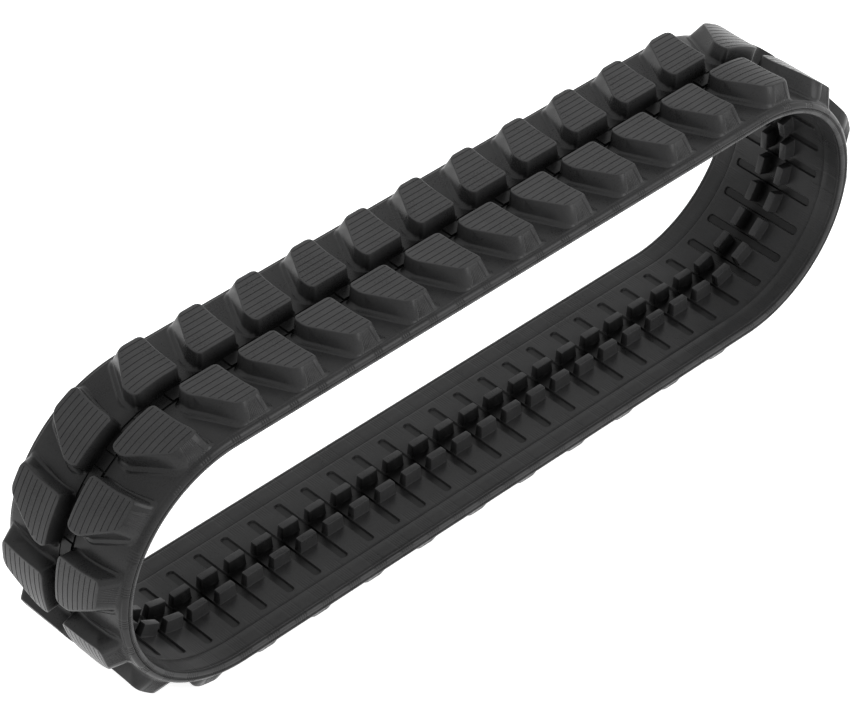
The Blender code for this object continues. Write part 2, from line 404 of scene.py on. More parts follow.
def bending_row_tree(loop: Loop) -> bpy.types.NodeTree:
    """Tree that repeats a pattern along the band and bends it with the band.

    Args:
        loop: The band's path.

    Returns:
        The tree.
    """
    tree = geometry_tree("bending_row", ROW_INPUTS)
    build = Tree(tree)
    given = tree.nodes["Group Input"]
    points, pattern = row_points(build, given)
    copies = build.node("GeometryNodeInstanceOnPoints", Points=points,
                        Instance=pattern)
    solid = build.node("GeometryNodeRealizeInstances", Geometry=copies.outputs[0])
    merged = build.node("GeometryNodeMergeByDistance", Geometry=solid.outputs[0],
                        Distance=MERGE_DISTANCE)
    place, _ = add_wrap(build, build.node("GeometryNodeInputPosition").outputs[0],
                        loop)
    moved = build.node("GeometryNodeSetPosition", Geometry=merged.outputs[0],
                       Position=place)
    end_row(build, given, moved.outputs[0])
    return tree


def stiff_row_tree(loop: Loop) -> bpy.types.NodeTree:
    """Tree that repeats a pattern along the band and keeps each copy's shape.

    Args:
        loop: The band's path.

    Returns:
        The tree.
    """
    tree = geometry_tree("stiff_row", ROW_INPUTS)
    build = Tree(tree)
    given = tree.nodes["Group Input"]
    points, pattern = row_points(build, given)
    place, turn = add_wrap(build, build.node("GeometryNodeInputPosition").outputs[0],
                           loop)
    angles = build.node("ShaderNodeCombineXYZ", Y=build.math("MULTIPLY", turn, -1.0))
    facing = build.node("FunctionNodeEulerToRotation", Euler=angles.outputs[0])
    copies = build.node("GeometryNodeInstanceOnPoints", Points=points,
                        Instance=pattern, Rotation=facing.outputs[0])
    moved = build.node("GeometryNodeSetPosition", Geometry=copies.outputs[0],
                       Position=place)
    solid = build.node("GeometryNodeRealizeInstances", Geometry=moved.outputs[0])
    end_row(build, given, solid.outputs[0])
    return tree


# ---------------------------------------------------------------- finishes

# Name of the vertex attribute that scales the rubber's colour; it carries painted light and painted shade.
TONE = "tone"


def start_material(name: str) -> tuple[bpy.types.Material, Tree, bpy.types.Node,
                                       bpy.types.NodeSocket]:
    """Make a material that reads object coordinates.

    Args:
        name: The material's name.

    Returns:
        The material, its tree, its shader and the place on the object.
    """
    made = bpy.data.materials.new(name)
    made.use_nodes = True
    build = Tree(made.node_tree)
    shader = made.node_tree.nodes["Principled BSDF"]
    return made, build, shader, build.node("ShaderNodeTexCoord").outputs["Object"]


@dataclass(frozen=True)
class RubberFinish:
    """Moulded black rubber: dull, finely grained, a little greyer where it bloomed."""

    name: str
    colour: float
    bloom: float
    roughness: float
    blue_share: float = 1.015
    cloud_scale: float = 14.0
    cloud_dulling: tuple[float, float] = (-0.05, 0.06)
    speck_scale: float = 420.0
    speck_range: tuple[float, float] = (0.86, 1.14)
    speck_depth: float = 0.0002
    speck_bump: float = 0.2
    grain_scale: float = 900.0
    grain_depth: float = 0.00012
    grain_bump: float = 0.3
    gloss: float = 0.16

    def material(self) -> bpy.types.Material:
        """Build the node material.

        Returns:
            The material.
        """
        made, build, shader, place = start_material(self.name)
        clouds = build.node("ShaderNodeTexNoise", Vector=place,
                            Scale=self.cloud_scale, Detail=5.0, Roughness=0.62)
        specks = build.node("ShaderNodeTexNoise", Vector=place,
                            Scale=self.speck_scale, Detail=3.0, Roughness=0.7)
        grains = build.node("ShaderNodeTexVoronoi", Vector=place,
                            Scale=self.grain_scale)
        # Painted light and painted shade from the tone attribute scale the colour.
        shade = build.node("ShaderNodeAttribute", {"attribute_name": TONE})
        grey = build.ramp(clouds.outputs[0], 0.36, 0.68, self.colour, self.bloom)
        speckle = build.ramp(specks.outputs[0], 0.3, 0.7, *self.speck_range)
        tone = build.math("MULTIPLY", build.math("MULTIPLY", grey, speckle),
                          shade.outputs["Fac"])
        colour = build.node("ShaderNodeCombineColor", Red=tone, Green=tone,
                            Blue=build.math("MULTIPLY", tone, self.blue_share))
        build.feed(shader.inputs["Base Color"], colour.outputs[0])
        dull = build.ramp(clouds.outputs[0], 0.3, 0.7,
                          *(self.roughness + shift for shift in self.cloud_dulling))
        build.feed(shader.inputs["Roughness"],
                   build.math("MULTIPLY", dull, speckle))
        shader.inputs["Specular IOR Level"].default_value = self.gloss
        fine = build.node("ShaderNodeBump", Height=grains.outputs["Distance"],
                          Distance=self.grain_depth, Strength=self.grain_bump)
        coarse = build.node("ShaderNodeBump", Height=specks.outputs[0],
                            Distance=self.speck_depth, Strength=self.speck_bump,
                            Normal=fine.outputs[0])
        build.feed(shader.inputs["Normal"], coarse.outputs[0])
        return made


@dataclass(frozen=True)
class SteelFinish:
    """Forged or drawn steel inside the rubber."""

    name: str
    colour: tuple[float, float, float, float]
    roughness: float
    stain_scale: float
    stain_tone: float = 0.55
    stain_dulling: float = 0.2
    stain_depth: float = 0.0003
    stain_bump: float = 0.4

    def material(self) -> bpy.types.Material:
        """Build the node material.

        Returns:
            The material.
        """
        made, build, shader, place = start_material(self.name)
        stains = build.node("ShaderNodeTexNoise", Vector=place,
                            Scale=self.stain_scale, Detail=6.0)
        mix = build.node("ShaderNodeMix", {"data_type": "RGBA"})
        stained = tuple(part * self.stain_tone for part in self.colour[:3]) + (1.0,)
        for socket, value in zip((mix.inputs["Factor"], mix.inputs[6], mix.inputs[7]),
                                 (stains.outputs[0], self.colour, stained)):
            build.feed(socket, value)
        build.feed(shader.inputs["Base Color"], mix.outputs[2])
        build.feed(shader.inputs["Roughness"],
                   build.ramp(stains.outputs[0], 0.3, 0.7, self.roughness,
                              self.roughness + self.stain_dulling))
        shader.inputs["Metallic"].default_value = 1.0
        bump = build.node("ShaderNodeBump", Height=stains.outputs[0],
                          Distance=self.stain_depth, Strength=self.stain_bump)
        build.feed(shader.inputs["Normal"], bump.outputs[0])
        return made


class Finishes:
    """All the finishes, built once."""

    def __init__(self) -> None:
        """Build the materials."""
        self.rubber = {
            Layer.COVER: RubberFinish("cover_rubber", 0.016, 0.022, 0.33).material(),
            Layer.TREAD: RubberFinish("tread_rubber", 0.014, 0.019, 0.30).material(),
        }
        self.core = SteelFinish("forged_core_steel", (0.42, 0.41, 0.40, 1.0),
                                0.45, 60.0).material()
        self.cord = SteelFinish("brass_plated_cord", (0.55, 0.50, 0.38, 1.0),
                                0.30, 400.0).material()


# ---------------------------------------------------------------- mesh helpers

SAME_PLACE = 1e-5  # metres
TILE_SLACK = 1e-6  # metres
STATION_SLACK = 0.01  # pitches

def mesh_object(name: str, made: bmesh.types.BMesh) -> bpy.types.Object:
    """Turn a mesh under construction into an object of the scene.

    Args:
        name: The object's name.
        made: The mesh, which is freed.

    Returns:
        The object.
    """
    mesh = bpy.data.meshes.new(name)
    made.to_mesh(mesh)
    made.free()
    found = bpy.data.objects.new(name, mesh)
    bpy.context.scene.collection.objects.link(found)
    return found


def evaluated_mesh(found: bpy.types.Object) -> bpy.types.Mesh:
    """Make a plain mesh of an object with its modifiers applied.

    Args:
        found: The object.

    Returns:
        The mesh.
    """
    bpy.context.view_layer.update()
    graph = bpy.context.evaluated_depsgraph_get()
    return bpy.data.meshes.new_from_object(found.evaluated_get(graph))


def remove_object(found: bpy.types.Object) -> None:
    """Remove a helper object and its mesh.

    Args:
        found: The object.
    """
    mesh = found.data
    bpy.data.objects.remove(found, do_unlink=True)
    bpy.data.meshes.remove(mesh)


def tube_from_rings(rings: Sequence[Sequence[Point]],
                    tone: Callable[[Point], float]) -> bmesh.types.BMesh:
    """Join closed rings of equal count into an open-ended tube.

    Args:
        rings: The rings, in order along the band.
        tone: How light the surface is painted at a point, with painted light and shade, where 1 is the plain
            rubber.

    Returns:
        The mesh.
    """
    made = bmesh.new()
    shade = made.verts.layers.float.new(TONE)
    loops = [[made.verts.new(point) for point in ring] for ring in rings]
    for loop, ring in zip(loops, rings):
        for vert, point in zip(loop, ring):
            vert[shade] = tone(point)
    count = len(rings[0])
    for near, far in zip(loops, loops[1:]):
        for index in range(count):
            after = (index + 1) % count
            made.faces.new((near[index], near[after], far[after], far[index]))
    return made


def close_and_face_out(made: bmesh.types.BMesh) -> None:
    """Close the open ends of a mesh and turn its faces outwards.

    Args:
        made: The mesh, which is changed.
    """
    bmesh.ops.remove_doubles(made, verts=made.verts[:], dist=SAME_PLACE)
    open_edges = [edge for edge in made.edges if edge.is_boundary]
    if open_edges:
        bmesh.ops.holes_fill(made, edges=open_edges, sides=0)
    bmesh.ops.recalc_face_normals(made, faces=made.faces[:])
    if made.calc_volume(signed=True) < 0:
        bmesh.ops.reverse_faces(made, faces=made.faces[:])


@dataclass
class Row:
    """A pattern repeated at evenly spaced stations."""

    tree: bpy.types.NodeTree
    pattern: bpy.types.Object
    first: float
    spacing: float
    count: int

    def shape(self, finish: bpy.types.Material) -> bpy.types.Mesh:
        """Evaluate the row's node tree.

        Args:
            finish: The material of the row.

        Returns:
            A plain mesh of the whole row.
        """
        host = mesh_object("row_host", bmesh.new())
        step = host.modifiers.new("row", "NODES")
        step.node_group = self.tree
        values = {
            "Pattern": self.pattern,
            "First Station": self.first * LOOP.pitch,
            "Spacing": self.spacing * LOOP.pitch,
            "Count": self.count,
            "Finish": finish,
        }
        for item in self.tree.interface.items_tree:
            if item.in_out == "INPUT" and item.name in values:
                step[item.identifier] = values[item.name]
        mesh = evaluated_mesh(host)
        host.modifiers.clear()
        remove_object(host)
        return mesh


def join_rows(name: str, rows: Sequence[Row], finish: bpy.types.Material,
              crease: float = 38.0) -> bpy.types.Object:
    """Join rows into one closed, shaded piece.

    Args:
        name: The piece's name.
        rows: The rows.
        finish: Its material.
        crease: Angle in degrees past which an edge is sharp.

    Returns:
        The piece.
    """
    made = bmesh.new()
    for row in rows:
        mesh = row.shape(finish)
        made.from_mesh(mesh)
        bpy.data.meshes.remove(mesh)
    close_and_face_out(made)
    piece = mesh_object(name, made)
    piece.data.materials.clear()
    piece.data.materials.append(finish)
    for polygon in piece.data.polygons:
        polygon.material_index = 0
    piece.data.shade_smooth()
    piece.data.set_sharp_from_angle(angle=math.radians(crease))
    return piece


def held_share(value: float, low: float, high: float) -> float:
    """Share from 0 at low to 1 at high, held at both ends."""
    return min(max((value - low) / (high - low), 0.0), 1.0)


def stations_within(first: float, last: float, phase: float,
                    spacing: float) -> tuple[float, int]:
    """Find the stations phase + n * spacing from first to last.

    Args:
        first: Lowest station.
        last: Highest station, left out itself.
        phase: A station of the row.
        spacing: Distance between two stations.

    Returns:
        The first station found, and how many there are.
    """
    rounding = 1e-9
    low = math.ceil((first - phase) / spacing - rounding)
    high = math.ceil((last - phase) / spacing - rounding)
    return phase + low * spacing, high - low


# ---------------------------------------------------------------- tiles


@dataclass(frozen=True)
class Lane:
    """A line across the band, along which a tile has a ring of points.

    A rim or floor lane follows the groove's outline, and its place is the side of the
    groove's middle that it is on, -1 or 1.
    """

    place: float
    kind: LaneKind = LaneKind.PLAIN
    share: float = 0.0  # of a mould line's depth

    def mirrored(self) -> "Lane":
        """The lane that stands before the front core as this one behind the rear."""
        outlined = self.kind in (LaneKind.RIM, LaneKind.FLOOR)
        return replace(self, place=-self.place if outlined else LOOP.pitch - self.place)


def whole_tile(near: Sequence[Lane], middle: LaneKind) -> list[Lane]:
    """Mirror the lanes of a tile's rear half.

    Args:
        near: The lanes of the rear half, from the rear core on.
        middle: The kind of the lane in the middle.

    Returns:
        All lanes, from the rear core to the front core.
    """
    far = [lane.mirrored() for lane in reversed(near)]
    return [*near, Lane(LOOP.pitch / 2, middle), *far]


def both_sides(half: Sequence[Point]) -> list[Point]:
    """Close a half ring, drawn from the centre line outwards, with its mirror image."""
    on_centre = 1e-9
    return [*half, *((s, -y, h) for s, y, h in reversed(half) if y > on_centre)]


class TilePart(Enum):
    """Parts of a tile, by the shares of the pitch between which they lie."""

    WHOLE = (0.0, 1.0)
    REAR_HALF = (0.0, 0.5)
    FRONT_HALF = (0.5, 1.0)

    def pattern(self, name: str, rings: Sequence[Sequence[Point]],
                tone: Callable[[Point], float]) -> bpy.types.Object:
        """Build this part of a tile.

        Args:
            name: The pattern's name.
            rings: The rings of the whole tile.
            tone: How light the surface is painted at a point, with painted light and shade.

        Returns:
            A helper object.
        """
        low, high = (share * LOOP.pitch for share in self.value)
        kept = [ring for ring in rings
                if low - TILE_SLACK <= ring[0][0] <= high + TILE_SLACK]
        return mesh_object(f"{name}_{self.name}", tube_from_rings(kept, tone))


# ---------------------------------------------------------------- the inner cover


@dataclass(frozen=True)
class MouldLines:
    """Shallow lines that the mould's ribs leave across the band at each core.

    The offsets are the lines' distances from the core, the same before and behind it.
    """

    offsets: tuple[float, ...] = (0.0018, 0.0054, 0.0090)
    half_width: float = 0.0005
    depth: float = 0.00014
    edge_depth: float = 0.0004
    edge_slope: float = 0.3
    inner_y: float = 0.060
    outer_y: float = 0.1085

    def crosses(self, station: float) -> bool:
        """Whether a line lies at a station of the tile."""
        near = min(abs(station), abs(LOOP.pitch - station))
        return any(abs(near - offset) < SAME_PLACE for offset in self.offsets)

    def lanes(self) -> list[Lane]:
        """Lanes of the lines behind a core.

        Returns:
            The core's own plain lane and three lanes for each line.
        """
        found = [Lane(0.0, LaneKind.LINE)]
        for offset in self.offsets:
            for shift, share in ((-1, 0.0), (0, 1.0), (1, 0.0)):
                place = offset + shift * self.half_width
                found.append(Lane(place, LaneKind.LINE, share))
        return found


@dataclass
class InnerCover:
    """Inner face of the band: roller paths with a step line, and cross grooves.

    The edge is given by points of distance from the centre line and depth.
    """

    half_length: float = 0.0067
    half_span: float = 0.0704
    groove_depth: float = 0.0027
    groove_wall: float = 0.0014
    groove_corner: float = 0.0048
    # Painted shade on the cross grooves' floors.
    floor_tone: float = 0.42
    step_y: float = 0.081
    step_width: float = 0.0008
    step_depth: float = 0.0004
    # Painted shade in the step line.
    step_shade: float = 0.5
    back_depth: float = 0.00865
    # Painted shade between the horns: the inner face darkens from the second distance in to the first, down
    # to the share below.
    channel: tuple[float, float] = (0.0105, 0.0285)
    channel_shade: float = 0.05
    edge_y: float = 0.1128
    parting_depth: float = 0.0064
    # Painted shade in the edge's parting groove.
    parting_shade: float = 0.2
    # Painted shade on the mould lines across the edge.
    line_tone: float = 0.5
    # Painted highlight on the rounded edge.
    edge_highlight: float = 1.4
    lines: MouldLines = field(default_factory=MouldLines)
    edge: tuple[FlatPoint, ...] = (
        (0.1078, 0.0), (0.1084, 0.00045), (0.1090, 0.0), (0.1104, -0.0001),
        (0.1122, 0.0004), (0.1137, 0.0015), (0.1146, 0.0030), (0.1150, 0.0048),
        (0.1150, 0.0062), (0.1146, 0.0067), (0.1146, 0.0072), (0.1150, 0.0077),
    )

    def half_width(self, across: float, inset: float) -> float:
        """Half the groove's width at a distance from the centre line.

        Args:
            across: Distance from the centre line.
            inset: How far inside the groove's rim.

        Returns:
            Half the width.
        """
        end = self.half_span - inset
        corner = self.groove_corner
        past = across - (end - corner)
        if past <= 0:
            return self.half_length - inset
        share = max(1.0 - (past / corner) ** 2, 0.0)
        return self.half_length - inset - corner * (1.0 - math.sqrt(share))

    def cross_places(self) -> list[float]:
        """Places across the flat inner face at which it has points.

        Returns:
            Distances from the centre line, rising.
        """
        end = self.half_span
        rim = [end - self.groove_corner * share for share in (1.0, 0.6, 0.3, 0.146, 0.0)]
        step = [self.step_y - self.step_width, self.step_y, self.step_y + self.step_width]
        plain = [0.0, 0.010, 0.020, 0.0285, 0.030, 0.045, 0.058]
        return plain + rim + [end + 0.0015, end + 0.006] + step + [0.092, 0.104]

    def lanes(self) -> list[Lane]:
        """Lanes of one tile.

        Returns:
            The lanes, from the rear core to the front core.
        """
        near = [*self.lines.lanes(), Lane(0.0130), Lane(0.0155),
                Lane(-1.0, LaneKind.RIM), Lane(-1.0, LaneKind.FLOOR)]
        return whole_tile(near, LaneKind.MIDDLE)

    def ring(self, lane: Lane) -> list[Point]:
        """One closed ring of the cover's section, in the flat layout.

        Args:
            lane: The lane that it follows.

        Returns:
            The ring's points.
        """
        half = [self.face_point(lane, across) for across in self.cross_places()]
        half += [self.edge_point(lane, across, depth) for across, depth in self.edge]
        half.append((self.plain_station(lane), half[-1][1], -self.back_depth))
        return both_sides(half)

    def plain_station(self, lane: Lane) -> float:
        """Station of a lane away from the groove's rounded end.

        Args:
            lane: The lane.

        Returns:
            The station.
        """
        half = {LaneKind.RIM: self.half_length,
                LaneKind.FLOOR: self.half_length - self.groove_wall}.get(lane.kind)
        return lane.place if half is None else LOOP.pitch / 2 + lane.place * half

    def face_point(self, lane: Lane, across: float) -> Point:
        """A point of the flat inner face.

        Args:
            lane: The lane that it is on.
            across: Its distance from the centre line.

        Returns:
            The point in the flat layout.
        """
        station = self.plain_station(lane)
        depth = 0.0
        rounded_end = self.half_span + 0.002
        if lane.kind in (LaneKind.RIM, LaneKind.FLOOR) and across < rounded_end:
            inset = 0.0 if lane.kind is LaneKind.RIM else self.groove_wall
            width = self.half_width(min(across, self.half_span - inset), inset)
            station = LOOP.pitch / 2 + lane.place * width
        inside = across < self.half_span - self.groove_wall / 2
        if lane.kind in (LaneKind.FLOOR, LaneKind.MIDDLE) and inside:
            depth = self.groove_depth
        on_line = self.lines.inner_y < across < self.lines.outer_y
        if lane.kind is LaneKind.LINE and on_line:
            depth = lane.share * self.lines.depth
        if abs(across - self.step_y) < SAME_PLACE:
            depth = self.step_depth
        return (station, across, -depth)

    def edge_point(self, lane: Lane, across: float, depth: float) -> Point:
        """A point of the rounded edge, which the mould lines notch.

        Args:
            lane: The lane that it is on.
            across: Its distance from the centre line.
            depth: Its depth under the inner face.

        Returns:
            The point in the flat layout.
        """
        pulled = lane.share * self.lines.edge_depth
        return (self.plain_station(lane), across - pulled,
                -depth - pulled * self.lines.edge_slope)

    def tone(self, point: Point) -> float:
        """How light the inner face is painted: painted shade in the grooves, the step line, the horn
        channel, the parting groove and the mould lines, and a painted highlight on the rounded edge.

        Args:
            point: A point in the flat layout.

        Returns:
            The tone, where 1 is the plain rubber.
        """
        station, across, rise = point
        if abs(across) > self.edge_y:
            # Painted shade in the parting groove.
            if rise < -self.parting_depth:
                return self.parting_shade
            # Painted shade on the mould lines, and a painted highlight on the rest of the rounded edge.
            return self.line_tone if self.lines.crosses(station) else self.edge_highlight
        # Painted shade towards the horn channel.
        share = held_share(abs(across), *self.channel)
        tone = self.channel_shade + (1 - self.channel_shade) * share
        # Painted shade on the groove floors.
        if abs(rise + self.groove_depth) < SAME_PLACE:
            tone *= self.floor_tone
        # Painted shade in the step line.
        if abs(rise + self.step_depth) < SAME_PLACE:
            tone *= self.step_shade
        return tone


@dataclass
class Horn:
    """Rubber-covered guide horn of a core, tapered, on a small rounded foot."""

    half_length: float = 0.0152
    near_y: float = 0.0117
    far_y: float = 0.0245
    height: float = 0.0195
    draft: float = 0.0011
    rounding: float = 0.0009
    corner: float = 0.0012
    foot: float = 0.0005
    # Painted light on the horn's top.
    top_light: float = 1.3
    # Painted light on the horn's outer walls.
    wall_tone: float = 1.1
    # Painted shade on the side that faces the channel, darkest low down.
    channel_shades: tuple[float, float] = (0.15, 0.55)

    def level(self, rise: float, inset: float) -> list[Point]:
        """A rectangular ring with rounded corners.

        Args:
            rise: Height over the inner face.
            inset: How far inside the horn's foot.

        Returns:
            The ring's points.
        """
        reach = self.half_length - inset
        low, high = self.near_y + inset, self.far_y - inset
        found = []
        for end, edge, inward in ((1, high, -1), (-1, high, -1), (-1, low, 1),
                                  (1, low, 1)):
            shares = ((0.0, 1.0), (0.3, 0.3), (1.0, 0.0))
            for along, across in shares if end * inward < 0 else reversed(shares):
                found.append((end * (reach - along * self.corner),
                              edge + inward * across * self.corner, rise))
        return found

    def pattern(self, name: str, side: Side) -> bpy.types.Object:
        """Build one horn over its core.

        Args:
            name: The pattern's name.
            side: The side of the centre line.

        Returns:
            A helper object.
        """
        top, edge = self.height, self.rounding
        levels = [
            (-0.0012, -self.foot), (0.0002, -self.foot), (0.0006, -self.foot * 0.45),
            (0.0014, -self.foot * 0.1), (0.0024, 0.0),
            (top * 0.6, self.draft * 0.6), (top - 2 * edge, self.draft * 0.9),
            (top - edge, self.draft), (top - edge * 0.3, self.draft + edge * 0.3),
            (top, self.draft + edge),
        ]
        rings = [[(s, side.value * y, h) for s, y, h in self.level(rise, inset)]
                 for rise, inset in levels]
        made = tube_from_rings(rings, self.tone)
        close_and_face_out(made)
        return mesh_object(name, made)

    def tone(self, point: Point) -> float:
        """How light the horn is painted: painted light on top and on its outer walls, painted shade on its
        side to the channel.

        Args:
            point: A point of the horn.

        Returns:
            The tone, where 1 is the plain rubber.
        """
        _, across, rise = point
        # Painted light on the top.
        if rise > self.height - 1.5 * self.rounding:
            return self.top_light
        # Painted shade on the side that faces the channel.
        if abs(across) < (self.near_y + self.far_y) / 2:
            low, high = self.channel_shades
            return low + (high - low) * held_share(rise, 0.004, self.height)
        # Painted light on the outer walls.
        return self.wall_tone


# ---------------------------------------------------------------- the tread


@dataclass
class Tread:
    """Outer face of the band between the lugs, with its edges and middle pads.

    The edge is given by points of distance from the centre line and depth.
    """

    face_depth: float = 0.018
    pad_half: float = 0.0119
    pad_rise: float = 0.0016
    pad_slope: float = 0.0006
    slit_inner: float = 0.0092
    slit_outer: float = 0.0119
    slit_depth: float = 0.0020
    slit_wall: float = 0.0003
    # Painted shade between the lug rows: the tread darkens from the second distance in to the first, down to
    # the share below.
    channel: tuple[float, float] = (0.0125, 0.030)
    channel_shade: float = 0.25
    face_tone: float = 0.95
    edge_y: float = 0.1120
    parting_depth: float = 0.0100
    # Painted shade in the edge's parting groove.
    parting_shade: float = 0.2
    # Painted shade on the mould lines across the edge.
    line_tone: float = 0.5
    # Painted highlight on the edge, set to the plain rubber's tone, a little lighter than the face.
    edge_highlight: float = 1.0
    lines: MouldLines = field(default_factory=lambda: MouldLines((0.0018, 0.0054)))
    edge: tuple[FlatPoint, ...] = (
        (0.1050, 0.0180), (0.1062, 0.0179), (0.1072, 0.0175), (0.1080, 0.0168),
        (0.1086, 0.0166), (0.1098, 0.0167), (0.1113, 0.0161), (0.1128, 0.0149),
        (0.1140, 0.0134), (0.1147, 0.0120), (0.1150, 0.0108), (0.1150, 0.0102),
        (0.1146, 0.0097), (0.1146, 0.0093), (0.1150, 0.00905),
    )

    def lanes(self) -> list[Lane]:
        """Lanes of one tile.

        Returns:
            The lanes, from the rear core to the front core.
        """
        near = [*self.lines.lanes(), Lane(0.0085), Lane(self.pad_half)]
        for steps, kind in ((1, LaneKind.PAD_FOOT), (2, LaneKind.PAD_FOOT),
                            (3, LaneKind.BETWEEN)):
            near.append(Lane(self.pad_half + steps * self.pad_slope, kind))
        near += [Lane(place, LaneKind.BETWEEN) for place in (0.0165, 0.0205)]
        return whole_tile(near, LaneKind.BETWEEN)

    def ring(self, lane: Lane) -> list[Point]:
        """One closed ring of the tread's section, in the flat layout.

        Args:
            lane: The lane that it follows.

        Returns:
            The ring's points.
        """
        pad = {LaneKind.BETWEEN: 0.0, LaneKind.PAD_FOOT: -self.pad_rise}
        top = -self.face_depth - pad.get(lane.kind, self.pad_rise)
        slit = self.slit_depth - self.face_depth
        half = [(0.0, top), (self.slit_inner - self.slit_wall, top),
                (self.slit_inner, slit), (self.slit_outer, slit)]
        half += [(across, -self.face_depth) for across in (
            self.slit_outer + self.slit_wall, 0.03, 0.055, 0.08, 0.098)]
        pulled = lane.share * self.lines.edge_depth
        half += [(across - pulled, -depth + pulled * self.lines.edge_slope)
                 for across, depth in self.edge]
        return both_sides([(lane.place, across, rise) for across, rise in half])

    def tone(self, point: Point) -> float:
        """How light the tread is painted: painted shade between the lug rows, in the parting groove and on
        the mould lines, and a painted highlight on its edge.

        Args:
            point: A point in the flat layout.

        Returns:
            The tone, where 1 is the plain rubber.
        """
        station, across, rise = point
        if abs(across) > self.edge_y:
            # Painted shade in the parting groove.
            if rise > -self.parting_depth:
                return self.parting_shade
            # Painted shade on the mould lines, and the edge's painted highlight elsewhere.
            return self.line_tone if self.lines.crosses(station) else self.edge_highlight
        # Painted shade towards the centre line, between the lug rows.
        share = held_share(abs(across), *self.channel)
        return self.channel_shade + (self.face_tone - self.channel_shade) * share


